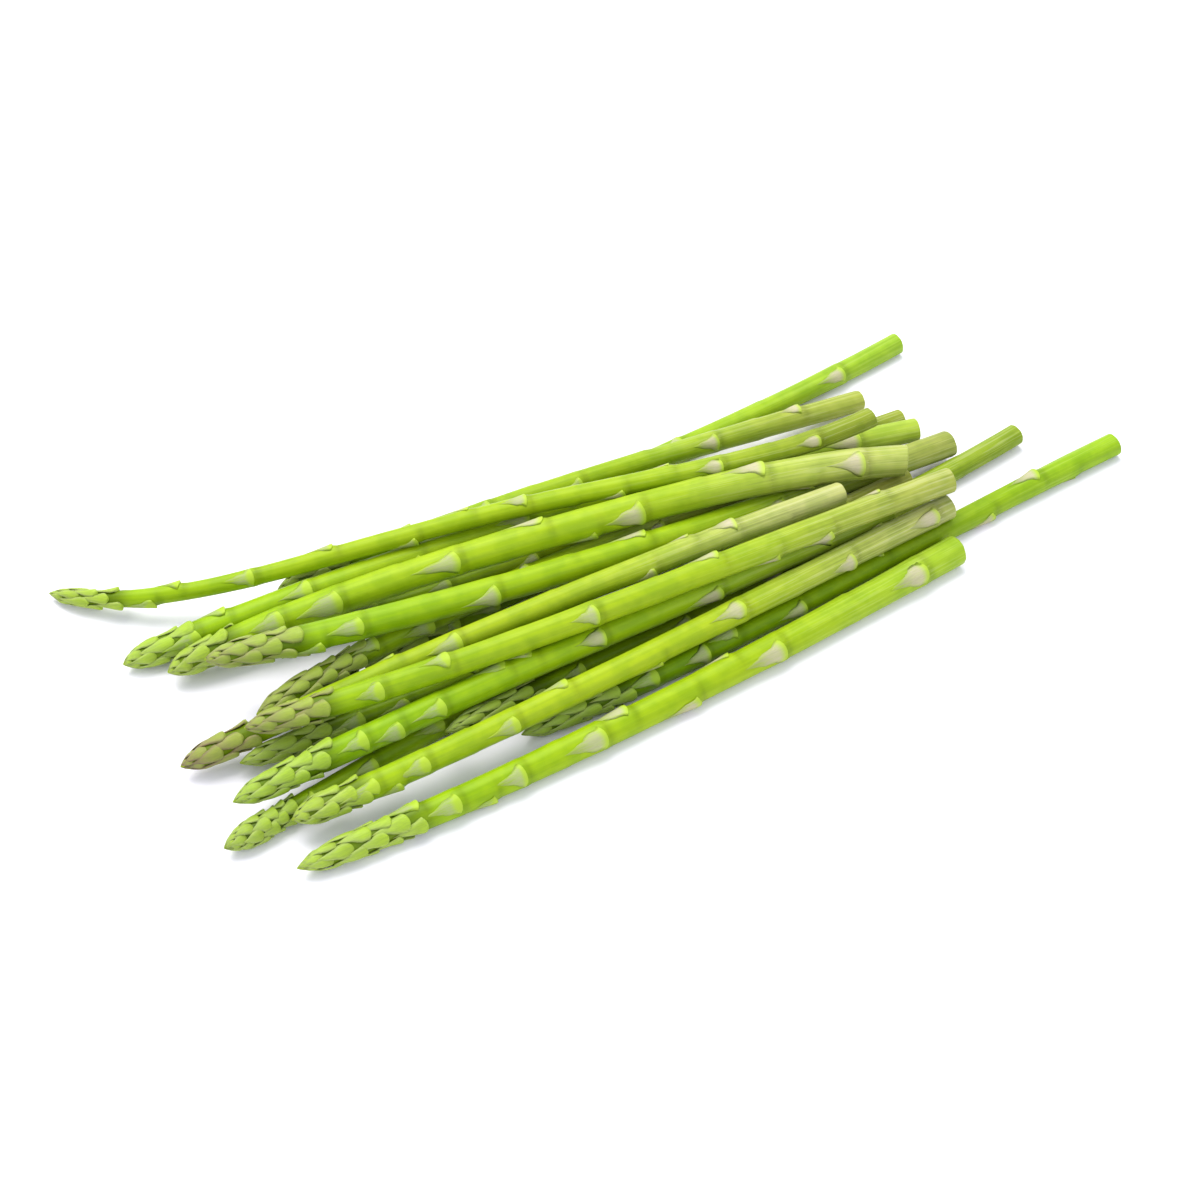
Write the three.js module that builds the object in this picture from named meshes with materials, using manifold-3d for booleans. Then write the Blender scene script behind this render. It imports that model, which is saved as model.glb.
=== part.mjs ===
// A loose bundle of green asparagus, lying on a flat surface with its heads towards -X.
// Millimetres, +Z up. The origin is on the surface, under the middle of the bundle.
// Every spear is one solid: a bowed stem that thickens towards its cut butt, the bracts at its
// nodes, and the head of overlapping scales. The spears are laid one after the other, and each
// comes to rest on the surface or on the spears that are already there.

import * as THREE from "three";
import { mergeVertices } from "three/addons/utils/BufferGeometryUtils.js";
import Module from "manifold-3d";

const wasm = await Module();
wasm.setup();

// The spears in the order in which they are laid.
// plan: points of the stem's axis seen from above, from the tip to the butt.
// thick: diameters of the stem behind the head and at the butt. arch: rise of the stem's middle.
// head: length of the head, and its girth as a share of the stem's.
// nodes: bracts as [distance from the tip, turn from the top of the stem towards -Y in degrees].
const SPEARS = [
  {
    plan: [[-85, -105], [-20, -69], [45, -28], [110, 17]],
    thick: [7.8, 9.4],
    arch: 0,
    head: [38, 1.12],
    nodes: [
      [39, -35], [50, 45], [61, 120], [71, 50], [98, 50], [108, -30], [130, 110],
      [161, 60], [215, 45],
    ],
    color: 0x9ecb2a,
  },
  {
    plan: [[-23, -56], [39, -19], [102, 23], [164, 64]],
    thick: [6.6, 7.4],
    arch: 0,
    head: [36, 1.1],
    nodes: [
      [45, 40], [63, 45], [74, 0], [98, 60], [130, -40], [171, 120], [191, -20],
    ],
    color: 0x86b81c,
  },
  {
    plan: [[-106, -98], [-46, -52], [14, -10], [73, 27], [133, 68]],
    thick: [6.2, 6.8],
    arch: -1,
    head: [24, 1.4],
    nodes: [
      [30, 50], [51, 45], [75, 20], [105, 70], [150, 10], [200, 60], [245, 30],
    ],
    color: 0x83ad25,
  },
  {
    plan: [[-45, -59], [4, -25], [53, 6], [102, 37]],
    thick: [5.2, 5.6],
    arch: -4,
    head: [34, 1.25],
    nodes: [
      [48, 45], [86, 50], [120, 20],
    ],
    color: 0x74a11d,
  },
  {
    plan: [[-104, -68], [-37, -37], [29, 0], [96, 41]],
    thick: [6.6, 7],
    arch: 2,
    head: [32, 1.15],
    nodes: [
      [38, 50], [52, 60], [75, 0], [110, 70], [160, 20], [205, 60],
    ],
    color: 0x7fb01b,
  },
  {
    plan: [[-70, -30], [-20, 3], [31, 31], [81, 54]],
    thick: [6, 6.4],
    arch: 1,
    head: [28, 1.2],
    nodes: [
      [32, 45], [46, 50], [88, 10], [120, 60],
    ],
    color: 0x6f9621,
  },
  {
    plan: [[-97, -21], [-32, 9], [32, 42], [97, 75]],
    thick: [6.8, 7],
    arch: 0,
    head: [28, 1.15],
    nodes: [
      [33, 40], [56, 30], [85, 70], [120, 0], [165, 60], [205, 20],
    ],
    color: 0x88b324,
  },
  {
    plan: [[-68, 5], [-13, 39], [43, 73], [98, 111]],
    thick: [6.4, 7],
    arch: 0,
    head: [30, 1.15],
    nodes: [
      [40, 0], [70, 60], [110, 20], [172, 45],
    ],
    color: 0x98cb24,
  },
  {
    plan: [[-98, -1], [-37, 26], [23, 53], [84, 84]],
    thick: [6.6, 6.8],
    arch: 7,
    head: [24, 1.15],
    nodes: [
      [28, -30], [45, -40], [70, 30], [100, 70], [147, 50], [178, -20],
    ],
    color: 0x8ebb24,
  },
  {
    plan: [[-100, -53], [-44, -14], [12, 18], [68, 46]],
    thick: [6.6, 7],
    arch: 2,
    head: [37, 1.3],
    nodes: [
      [42, 10], [60, 60], [95, 20], [140, 70], [180, 0],
    ],
    color: 0x86a93a,
  },
  {
    plan: [[-87, -91], [-22, -55], [43, -14], [108, 29]],
    thick: [7.4, 7.8],
    arch: 2,
    head: [22, 1.2],
    nodes: [
      [26, 45], [33, 120], [42, 50], [71, 60], [90, -35], [150, 30], [190, 80], [222, 50],
    ],
    color: 0xa3c93a,
  },
  {
    plan: [[-104, -86], [-40, -49], [25, -12], [89, 27]],
    thick: [8, 8.2],
    arch: 3,
    head: [31, 1.08],
    nodes: [
      [42, 40], [53, 70], [67, 50], [89, -30], [98, -40], [120, 45], [160, 80], [200, 20],
    ],
    color: 0x93c51c,
  },
  {
    plan: [[-121, -69], [-56, -39], [9, -7], [74, 27]],
    thick: [7, 7.4],
    arch: 7,
    head: [24, 1.22],
    nodes: [
      [36, 0], [50, 100], [88, 40], [151, 110], [180, -20],
    ],
    color: 0x9fc63a,
  },
  {
    plan: [[-102, -64], [-32, -39], [38, -5], [108, 32]],
    thick: [7.4, 7.8],
    arch: 4,
    head: [26, 1.12],
    nodes: [
      [41, 50], [62, 0], [108, 45], [150, -40], [187, 115],
    ],
    color: 0x98c22f,
  },
  {
    plan: [[-142, -29], [-61, 6], [20, 37], [101, 67]],
    thick: [7.8, 7.6],
    arch: 7,
    head: [22, 1.12],
    nodes: [
      [24, 60], [34, -40], [60, 30], [95, 80], [130, 10], [162, -20], [176, 30], [206, 0],
      [240, 40],
    ],
    color: 0x9ccc2a,
  },
  {
    plan: [[-115, -42], [-40, -16], [36, 19], [111, 61]],
    thick: [8.2, 8.6],
    arch: 3,
    head: [29, 1.12],
    nodes: [
      [35, 115], [47, 45], [89, 70], [139, -40], [185, 60], [220, 20],
    ],
    color: 0x93c222,
  },
  {
    plan: [[-128, -34], [-72, -10], [-16, 9], [39, 27], [95, 40]],
    thick: [8.6, 9.8],
    arch: 7,
    head: [22, 1.05],
    nodes: [
      [37, 40], [55, 50], [92, 45], [120, -40], [150, 70], [190, -20], [221, 45],
    ],
    color: 0x9aca2c,
  },
  {
    plan: [[-168, 1], [-105, -2], [-42, 15], [22, 31], [85, 57]],
    thick: [5, 6.6],
    arch: 7,
    head: [25, 1.1],
    nodes: [
      [35, 115], [43, -35], [65, 40], [90, -40], [115, 115], [150, 0], [180, 110],
      [211, 45], [243, 50],
    ],
    color: 0x94c424,
  },
];

// The point of the plan that lies under the middle of the bundle's box.
const MIDDLE = [-1.05, 4.34];

// How the spears rest.
const STATIONS = 61;
const CLEARANCE = 0.7;
const SEAT = 0.93;
const BALANCE = 0.53;

// The stem, and the share of its circle that a flat-sided section needs to keep its girth.
const STEM_SIDES = 8;
const STEM_STEP = 30;
const SECTION_GROWTH = 1.04;

// The head: where it is thickest, how slender its point is, and the scales on its core.
const HEAD_FULL = 0.45;
const HEAD_POINT = 0.85;
const HEAD_RINGS = [0.08, 0.22, 0.42, 0.75];
const CORE_SHARE = 0.84;
const SCALE_PITCH = 2.4;
const SCALE_LENGTH = 10;
const SCALE_HALF_TURN = 44;
const SCALE_RIDGE = 1.05;
const GOLDEN_TURN = 137.5;

// The bracts on the stem.
const BRACT_LENGTH = 12;
const BRACT_HALF_TURN = 52;
const BRACT_RISE = 0.6;
const HIDDEN_BRACT_GAP = 26;
const ROOT_DEPTH = 0.35;
const SKIN_SINK = 0.15;

const DEGREE = Math.PI / 180;
const UP = new THREE.Vector3(0, 0, 1);
const { lerp, clamp, smoothstep } = THREE.MathUtils;

// The y of a plan curve at x: the one polynomial that runs through all the plan's points.
function planY(plan, x) {
  return plan.reduce((sum, [xi, yi], i) => {
    const weight = plan.reduce(
      (product, [xj], j) => (i === j ? product : (product * (x - xj)) / (xi - xj)),
      1,
    );
    return sum + weight * yi;
  }, 0);
}

// Radius of the stem, without its bracts, at a share of its length.
function stemRadius(spear, share) {
  return lerp(spear.thick[0], spear.thick[1], share) / 2;
}

// Outer radius of the spear at a distance from its tip: the head swells and closes in a point.
function skinRadius(spear, distance, length) {
  const [headLength, girth] = spear.head;
  const q = distance / headLength;
  const swell = lerp(girth, 1, smoothstep(q, HEAD_FULL, 1));
  const point = q < HEAD_FULL ? (1 - (1 - q / HEAD_FULL) ** 2) ** HEAD_POINT : 1;
  return stemRadius(spear, distance / length) * swell * point;
}

// The corners of the upper convex outline of a row of heights.
function upperOutline(heights) {
  const corners = [];
  heights.forEach((height, i) => {
    const next = [i / (heights.length - 1), height];
    while (corners.length > 1) {
      const [a, b] = corners.slice(-2);
      const turn = (b[0] - a[0]) * (next[1] - a[1]) - (b[1] - a[1]) * (next[0] - a[0]);
      if (turn < 0) break;
      corners.pop();
    }
    corners.push(next);
  });
  return corners;
}

// Lowest height of an axis point that keeps clear of the surface and of the spears below.
function neededHeight(x, y, radius, below) {
  let needed = radius * SEAT;
  for (const other of below) {
    let nearest = other[0];
    let least = Infinity;
    for (const station of other) {
      const square = (station.x - x) ** 2 + (station.y - y) ** 2;
      if (square < least) {
        least = square;
        nearest = station;
      }
    }
    const reach = (radius + nearest.radius + CLEARANCE) ** 2 - least;
    if (reach > 0) needed = Math.max(needed, nearest.z + Math.sqrt(reach));
  }
  return needed;
}

// Stations along the axis of one spear, after it has come to rest on two supports, one on each
// side of its weight.
function laySpear(spear, below) {
  const { plan, arch } = spear;
  const stations = [];
  for (let i = 0; i < STATIONS; i++) {
    const share = i / (STATIONS - 1);
    const x = lerp(plan[0][0], plan[plan.length - 1][0], share);
    const y = planY(plan, x);
    const last = stations[i - 1];
    const distance = last ? last.distance + Math.hypot(x - last.x, y - last.y) : 0;
    stations.push({ x, y, distance, rise: 4 * arch * share * (1 - share) });
  }
  const length = stations[STATIONS - 1].distance;
  for (const station of stations) {
    station.radius = skinRadius(spear, station.distance, length);
  }
  const needed = stations.map((s) => neededHeight(s.x, s.y, s.radius, below) - s.rise);
  const corners = upperOutline(needed);
  const right = corners.findIndex(([share]) => share >= BALANCE);
  const [a, b] = [corners[right - 1], corners[right]];
  stations.forEach((station, i) => {
    const share = i / (STATIONS - 1);
    station.z = lerp(a[1], b[1], (share - a[0]) / (b[0] - a[0])) + station.rise;
  });
  return stations;
}

// Place of a point in a spear's own measures: distance from the tip along the axis, turn from the
// top of the stem towards -Y, and radius.
function spearPoint(stations, distance, turn, radius) {
  const after = stations.findIndex((s) => s.distance >= distance);
  const i = clamp(after < 0 ? STATIONS - 1 : after, 1, STATIONS - 1);
  const [a, b] = [stations[i - 1], stations[i]];
  const start = new THREE.Vector3(a.x, a.y, a.z);
  const end = new THREE.Vector3(b.x, b.y, b.z);
  const along = end.clone().sub(start).normalize();
  const front = along.clone().cross(UP).normalize();
  const top = front.clone().cross(along);
  const share = (distance - a.distance) / (b.distance - a.distance);
  return start
    .lerp(end, share)
    .addScaledVector(top, radius * Math.cos(turn * DEGREE))
    .addScaledVector(front, radius * Math.sin(turn * DEGREE));
}

function solidFrom(points, faces) {
  return new wasm.Manifold(
    new wasm.Mesh({
      numProp: 3,
      vertProperties: new Float32Array(points.flatMap((p) => p.toArray())),
      triVerts: new Uint32Array(faces.flat()),
    }),
  );
}

// Radius of the solid core of a spear: it leaves room for the scales over the head.
function coreRadius(spear, distance, length) {
  const share = lerp(CORE_SHARE, 1, smoothstep(distance / spear.head[0], 0.7, 1));
  return skinRadius(spear, distance, length) * share;
}

// The stem and the core of the head: rings of flat sides, a pointed tip and a cut butt.
function stemSolid(spear, stations) {
  const length = stations[STATIONS - 1].distance;
  const headLength = spear.head[0];
  const distances = HEAD_RINGS.map((share) => share * headLength);
  const steps = Math.round((length - headLength) / STEM_STEP);
  for (let i = 0; i <= steps; i++) {
    distances.push(lerp(headLength, length, i / steps));
  }
  const points = [];
  for (const distance of distances) {
    const radius = coreRadius(spear, distance, length) * SECTION_GROWTH;
    for (let k = 0; k < STEM_SIDES; k++) {
      const turn = ((k + 0.5) * 360) / STEM_SIDES;
      points.push(spearPoint(stations, distance, turn, radius));
    }
  }
  const tip = points.push(spearPoint(stations, 0, 0, 0)) - 1;
  const butt = points.push(spearPoint(stations, length, 0, 0)) - 1;
  const faces = [];
  const lastRing = (distances.length - 1) * STEM_SIDES;
  for (let k = 0; k < STEM_SIDES; k++) {
    const next = (k + 1) % STEM_SIDES;
    faces.push([tip, next, k]);
    faces.push([lastRing + k, lastRing + next, butt]);
    for (let ring = 0; ring < lastRing; ring += STEM_SIDES) {
      const [p, q] = [ring + k, ring + next];
      faces.push([p, q, q + STEM_SIDES], [p, q + STEM_SIDES, p + STEM_SIDES]);
    }
  }
  return solidFrom(points, faces);
}

// A pointed blade that lies on a spear, its point towards the tip. base: distance, half turn and
// the radii of the points across it, which meet in the front point and in the root below them.
function bladeSolid(stations, turn, base, front, root) {
  const [distance, halfTurn, radii] = base;
  const last = radii.length - 1;
  const points = radii.map((radius, i) =>
    spearPoint(stations, distance, turn + ((2 * i) / last - 1) * halfTurn, radius),
  );
  const tip = points.push(spearPoint(stations, front[0], turn, front[1])) - 1;
  const deep = points.push(spearPoint(stations, root[0], turn, root[1])) - 1;
  const faces = [[tip, 0, deep], [last, tip, deep]];
  for (let i = 0; i < last; i++) {
    faces.push([tip, i + 1, i], [i, i + 1, deep]);
  }
  return solidFrom(points, faces);
}

// A scale of the head: its ridge stands proud of the core and its point tucks in over the next.
function scaleSolid(spear, stations, root, turn) {
  const length = stations[STATIONS - 1].distance;
  const reach = Math.min(SCALE_LENGTH, root * 0.85);
  const belly = root - 0.35 * reach;
  const point = root - reach;
  const core = (distance) => coreRadius(spear, distance, length);
  const ridge = skinRadius(spear, belly, length) * SCALE_RIDGE;
  const side = core(belly) * 0.97;
  const front = [point, Math.max(core(point) * 1.06, 0.3)];
  const base = [belly, SCALE_HALF_TURN, [side, ridge, side]];
  return bladeSolid(stations, turn, base, front, [root, core(root) * ROOT_DEPTH]);
}

// A bract of the stem: a triangle pressed to the skin, raised along its base at the node.
function bractSolid(spear, stations, node, turn) {
  const length = stations[STATIONS - 1].distance;
  const radius = stemRadius(spear, node / length);
  const reach = BRACT_LENGTH * clamp(radius / 4, 0.8, 1.15);
  const sunk = radius - SKIN_SINK;
  const proud = radius + BRACT_RISE;
  const base = [node, BRACT_HALF_TURN, [sunk, proud, proud, sunk]];
  const front = [node - reach, sunk];
  return bladeSolid(stations, turn, base, front, [node + SKIN_SINK, radius * ROOT_DEPTH]);
}

// The bracts that the spear's list gives, and one on the far side of each long gap between two.
function bractsOf(spear, length) {
  const listed = spear.nodes;
  const ends = [...listed, [length - 4, 0]];
  const hidden = listed
    .map(([node, turn], i) => [(node + ends[i + 1][0]) / 2, turn + 180, ends[i + 1][0] - node])
    .filter(([, , gap]) => gap > HIDDEN_BRACT_GAP);
  return [...listed, ...hidden];
}

function spearSolid(spear, stations, seed) {
  const length = stations[STATIONS - 1].distance;
  let solid = stemSolid(spear, stations);
  const scales = Math.round(spear.head[0] / SCALE_PITCH);
  for (let k = 0; k < scales; k++) {
    const root = lerp(0.2, 1.04, k / (scales - 1)) * spear.head[0];
    solid = solid.add(scaleSolid(spear, stations, root, (seed + k) * GOLDEN_TURN));
  }
  for (const [node, turn] of bractsOf(spear, length)) {
    solid = solid.add(bractSolid(spear, stations, node, turn));
  }
  return solid;
}

// A block whose top is the surface that the bundle lies on. It cuts what would sink into it flat.
function groundSolid() {
  const box = new THREE.BoxGeometry(1000, 1000, 50).translate(0, 0, -25);
  box.deleteAttribute("normal").deleteAttribute("uv");
  const merged = mergeVertices(box);
  return new wasm.Manifold(
    new wasm.Mesh({
      numProp: 3,
      vertProperties: merged.attributes.position.array,
      triVerts: new Uint32Array(merged.index.array),
    }),
  );
}

function meshOf(name, solid, color) {
  const { numProp, vertProperties, triVerts } = solid.getMesh();
  const geometry = new THREE.BufferGeometry();
  const places = new THREE.InterleavedBuffer(vertProperties, numProp);
  geometry.setAttribute("position", new THREE.InterleavedBufferAttribute(places, 3, 0));
  geometry.setIndex(new THREE.BufferAttribute(triVerts, 1));
  geometry.computeVertexNormals();
  const material = new THREE.MeshStandardMaterial({ color, roughness: 0.45, metalness: 0 });
  const mesh = new THREE.Mesh(geometry, material);
  mesh.name = name;
  return mesh;
}

const bundle = new THREE.Group();
bundle.position.set(-MIDDLE[0], -MIDDLE[1], 0);
const ground = groundSolid();
const laid = [];
SPEARS.forEach((spear, i) => {
  const stations = laySpear(spear, laid);
  laid.push(stations);
  const solid = spearSolid(spear, stations, i).subtract(ground);
  bundle.add(meshOf("spear_" + String(i + 1).padStart(2, "0"), solid, spear.color));
});

export default bundle;
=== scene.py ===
# %% [markdown]
# # A loose bundle of green asparagus
# Eighteen cut spears lie on a white table, heads to the left. This notebook starts from the
# bare solids of the part and gives every spear the surface that the real vegetable has: a
# round juicy stem with lengthwise fibres, papery bracts at its nodes, a bud of overlapping
# scales, and a cut end. A spear's solid is only as fine as a collision needs, so each one
# is replaced by a finer mesh that runs along the same axis.

# %% Load the frame
import math
import bmesh
import bpy
import numpy as np
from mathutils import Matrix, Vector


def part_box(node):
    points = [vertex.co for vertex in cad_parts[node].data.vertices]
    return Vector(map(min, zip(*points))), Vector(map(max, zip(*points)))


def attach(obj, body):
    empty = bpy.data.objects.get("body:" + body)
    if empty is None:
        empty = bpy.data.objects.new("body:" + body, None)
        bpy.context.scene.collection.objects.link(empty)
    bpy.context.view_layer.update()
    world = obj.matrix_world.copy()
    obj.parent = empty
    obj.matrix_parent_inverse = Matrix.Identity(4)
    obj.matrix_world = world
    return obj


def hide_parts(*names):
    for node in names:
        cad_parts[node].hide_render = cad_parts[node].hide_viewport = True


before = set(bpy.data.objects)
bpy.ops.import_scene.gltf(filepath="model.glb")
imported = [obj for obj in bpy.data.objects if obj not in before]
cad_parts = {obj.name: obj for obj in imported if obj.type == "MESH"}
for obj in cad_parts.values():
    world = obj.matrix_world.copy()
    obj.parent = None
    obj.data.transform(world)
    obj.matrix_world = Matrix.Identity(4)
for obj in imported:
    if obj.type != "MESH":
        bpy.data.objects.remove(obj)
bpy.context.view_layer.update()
print("solids of the part:", len(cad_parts))

# %% [markdown]
# ## The spears
# A spear is described as a grower would: where its axis runs seen from above, how thick it
# is, how far its middle bows up, how long and full its bud is, and where its bracts sit.
# These rows say the same as the part's own, in millimetres and in the order of laying; the
# part's origin lies at MIDDLE in them. The last values are for looks alone: the green of the
# skin, the green near the cut end, how purple the bud is, the distance from scale to scale,
# and how dry the old end has become.

# %% Rows of the spears
SPEARS = [
    dict(plan=[(-85, -105), (-20, -69), (45, -28), (110, 17)], thick=(7.8, 9.4), arch=0,
         head=(38, 1.12), nodes=[(39, -35), (50, 45), (61, 120), (71, 50), (98, 50),
         (108, -30), (130, 110), (161, 60), (215, 45)],
         skin="a2cc25", butt="a8d03c", purple=0.0, pitch=1.5, dry=0.3),
    dict(plan=[(-23, -56), (39, -19), (102, 23), (164, 64)], thick=(6.6, 7.4), arch=0,
         head=(36, 1.1), nodes=[(45, 40), (63, 45), (74, 0), (98, 60), (130, -40),
         (171, 120), (191, -20)],
         skin="86b016", butt="9ccb2c", purple=0.1, pitch=1.5, dry=0.2),
    dict(plan=[(-106, -98), (-46, -52), (14, -10), (73, 27), (133, 68)], thick=(6.2, 6.8), arch=-1,
         head=(24, 1.4), nodes=[(30, 50), (51, 45), (75, 20), (105, 70), (150, 10),
         (200, 60), (245, 30)],
         skin="8db324", butt="93b03a", purple=0.0, pitch=0.75, dry=0.5),
    dict(plan=[(-45, -59), (4, -25), (53, 6), (102, 37)], thick=(5.2, 5.6), arch=-4,
         head=(34, 1.25), nodes=[(48, 45), (86, 50), (120, 20)],
         skin="86aa1c", butt="8aa03c", purple=0.1, pitch=1.5, dry=0.4),
    dict(plan=[(-104, -68), (-37, -37), (29, 0), (96, 41)], thick=(6.6, 7.0), arch=2,
         head=(32, 1.15), nodes=[(38, 50), (52, 60), (75, 0), (110, 70), (160, 20),
         (205, 60)],
         skin="8cb21e", butt="a6ae5c", purple=0.1, pitch=1.45, dry=0.5),
    dict(plan=[(-70, -30), (-20, 3), (31, 31), (81, 54)], thick=(6.0, 6.4), arch=1,
         head=(28, 1.2), nodes=[(32, 45), (46, 50), (88, 10), (120, 60)],
         skin="82a426", butt="849a3a", purple=0.2, pitch=1.5, dry=0.5),
    dict(plan=[(-97, -21), (-32, 9), (32, 42), (97, 75)], thick=(6.8, 7.0), arch=0,
         head=(28, 1.15), nodes=[(33, 40), (56, 30), (85, 70), (120, 0), (165, 60),
         (205, 20)],
         skin="92b62a", butt="98aa44", purple=0.2, pitch=1.45, dry=0.7),
    dict(plan=[(-68, 5), (-13, 39), (43, 73), (98, 111)], thick=(6.4, 7.0), arch=0,
         head=(30, 1.15), nodes=[(40, 0), (70, 60), (110, 20), (172, 45)],
         skin="9cca32", butt="a0cc40", purple=0.1, pitch=1.45, dry=0.2),
    dict(plan=[(-98, -1), (-37, 26), (23, 53), (84, 84)], thick=(6.6, 6.8), arch=7,
         head=(24, 1.15), nodes=[(28, -30), (45, -40), (70, 30), (100, 70), (147, 50),
         (178, -20)],
         skin="98c22c", butt="b2c266", purple=0.2, pitch=1.45, dry=0.5),
    dict(plan=[(-100, -53), (-44, -14), (12, 18), (68, 46)], thick=(6.6, 7.0), arch=2,
         head=(37, 1.3), nodes=[(42, 10), (60, 60), (95, 20), (140, 70), (180, 0)],
         skin="9cc032", butt="94a24c", purple=0.4, pitch=1.3, dry=0.6),
    dict(plan=[(-87, -91), (-22, -55), (43, -14), (108, 29)], thick=(7.4, 7.8), arch=2,
         head=(22, 1.2), nodes=[(26, 45), (33, 120), (42, 50), (71, 60), (90, -35),
         (150, 30), (190, 80), (222, 50)],
         skin="a8ce38", butt="b6c280", purple=0.05, pitch=1.35, dry=0.9),
    dict(plan=[(-104, -86), (-40, -49), (25, -12), (89, 27)], thick=(8.0, 8.2), arch=3,
         head=(31, 1.08), nodes=[(42, 40), (53, 70), (67, 50), (89, -30), (98, -40),
         (120, 45), (160, 80), (200, 20)],
         skin="9ac826", butt="a2c242", purple=0.0, pitch=1.45, dry=0.4),
    dict(plan=[(-121, -69), (-56, -39), (9, -7), (74, 27)], thick=(7.0, 7.4), arch=7,
         head=(24, 1.22), nodes=[(36, 0), (50, 100), (88, 40), (151, 110), (180, -20)],
         skin="a4c838", butt="c6cf9a", purple=0.8, pitch=1.5, dry=0.8),
    dict(plan=[(-102, -64), (-32, -39), (38, -5), (108, 32)], thick=(7.4, 7.8), arch=4,
         head=(26, 1.12), nodes=[(41, 50), (62, 0), (108, 45), (150, -40), (187, 115)],
         skin="a0c832", butt="aebc68", purple=0.6, pitch=1.35, dry=0.7),
    dict(plan=[(-142, -29), (-61, 6), (20, 37), (101, 67)], thick=(7.8, 7.6), arch=7,
         head=(22, 1.12), nodes=[(24, 60), (34, -40), (60, 30), (95, 80), (130, 10),
         (162, -20), (176, 30), (206, 0), (240, 40)],
         skin="a4d02e", butt="b0d054", purple=0.0, pitch=1.45, dry=0.3),
    dict(plan=[(-115, -42), (-40, -16), (36, 19), (111, 61)], thick=(8.2, 8.6), arch=3,
         head=(29, 1.12), nodes=[(35, 115), (47, 45), (89, 70), (139, -40), (185, 60),
         (220, 20)],
         skin="9cc828", butt="a6b468", purple=0.45, pitch=1.35, dry=0.7),
    dict(plan=[(-128, -34), (-72, -10), (-16, 9), (39, 27), (95, 40)], thick=(8.6, 9.8), arch=7,
         head=(22, 1.05), nodes=[(37, 40), (55, 50), (92, 45), (120, -40), (150, 70),
         (190, -20), (221, 45)],
         skin="a6d034", butt="bccc7c", purple=0.1, pitch=1.45, dry=0.6),
    dict(plan=[(-168, 1), (-105, -2), (-42, 15), (22, 31), (85, 57)], thick=(5.0, 6.6), arch=7,
         head=(25, 1.1), nodes=[(35, 115), (43, -35), (65, 40), (90, -40), (115, 115),
         (150, 0), (180, 110), (211, 45), (243, 50)],
         skin="a2cb2e", butt="93a840", purple=0.1, pitch=1.4, dry=0.45),
]
MIDDLE = (-1.05, 4.34)
print("rows:", len(SPEARS))

# %% [markdown]
# ## How a spear comes to rest
# The pile could be found by letting rigid bodies fall, but a short rule gives the same
# picture and always the same result: each spear is lowered until it touches, and it stops
# on two supports, one on each side of its weight. The part uses this rule, so the fine
# meshes land on the same axes.

# %% Radius along a spear
MM = 0.001
STATIONS = 61
CLEARANCE = 0.7
SEAT = 0.93
BALANCE = 0.53
HEAD_FULL = 0.45
HEAD_POINT = 0.85


def smoothstep(value, low, high):
    """0 below low, 1 above high, and the curve 3t^2 - 2t^3 between them."""
    t = np.clip((value - low) / (high - low), 0, 1)
    return t * t * (3 - 2 * t)


def stem_radius(spear, share):
    """Radius of the stem: a straight line from behind the head to the butt."""
    first, last = spear["thick"]
    return (first + (last - first) * share) / 2


def skin_radius(spear, distance, length):
    """Stem radius times the head's girth, which fades out over the head, times a round
    point: (1 - (1 - q)^2)^HEAD_POINT, q from 0 at the tip to 1 where the head is full."""
    head, girth = spear["head"]
    q = distance / head
    swell = girth + (1 - girth) * smoothstep(q, HEAD_FULL, 1)
    point = (1 - (1 - np.clip(q / HEAD_FULL, 0, 1)) ** 2) ** HEAD_POINT
    return stem_radius(spear, distance / length) * swell * point


print("first spear, radius at 10, 50 and 200 mm:",
      skin_radius(SPEARS[0], np.array([10.0, 50.0, 200.0]), 230.0).round(2))

# %% The laying rule
def plan_y(plan, x):
    """The polynomial through all the plan's points: a sum of each point's y times its
    weight, which is 1 at that point and 0 at the others."""
    total = np.zeros_like(x)
    for i, (xi, yi) in enumerate(plan):
        weight = np.ones_like(x)
        for j, (xj, _) in enumerate(plan):
            if i != j:
                weight = weight * (x - xj) / (xi - xj)
        total = total + weight * yi
    return total


def upper_outline(share, height):
    """Corners of the upper convex outline of a row of heights."""
    corners = []
    for point in zip(share, height):
        while len(corners) > 1:
            (ax, ay), (bx, by) = corners[-2:]
            if (bx - ax) * (point[1] - ay) - (by - ay) * (point[0] - ax) < 0:
                break
            corners.pop()
        corners.append(point)
    return corners


def lay(spear, below):
    """Axis stations of one spear at rest. The height that each station needs is the sum of
    the two radii over the nearest axis below, or its own radius over the table; the spear
    lies on the straight line between the two corners of the upper outline that hold its
    weight, plus its own bow."""
    plan = spear["plan"]
    share = np.linspace(0, 1, STATIONS)
    x = plan[0][0] + (plan[-1][0] - plan[0][0]) * share
    y = plan_y(plan, x)
    distance = np.concatenate([[0], np.cumsum(np.hypot(np.diff(x), np.diff(y)))])
    radius = skin_radius(spear, distance, distance[-1])
    rise = 4 * spear["arch"] * share * (1 - share)
    need = radius * SEAT
    for other in below:
        square = (x[:, None] - other["x"]) ** 2 + (y[:, None] - other["y"]) ** 2
        nearest = square.argmin(1)
        square = square.min(1)
        reach = (radius + other["radius"][nearest] + CLEARANCE) ** 2 - square
        over = other["z"][nearest] + np.sqrt(np.clip(reach, 0, None))
        need = np.where(reach > 0, np.maximum(need, over), need)
    corners = upper_outline(share, need - rise)
    right = next(i for i, corner in enumerate(corners) if corner[0] >= BALANCE)
    (s0, z0), (s1, z1) = corners[right - 1], corners[right]
    z = z0 + (z1 - z0) * (share - s0) / (s1 - s0) + rise
    return dict(x=x, y=y, z=z, radius=radius, distance=distance, length=distance[-1])


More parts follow.
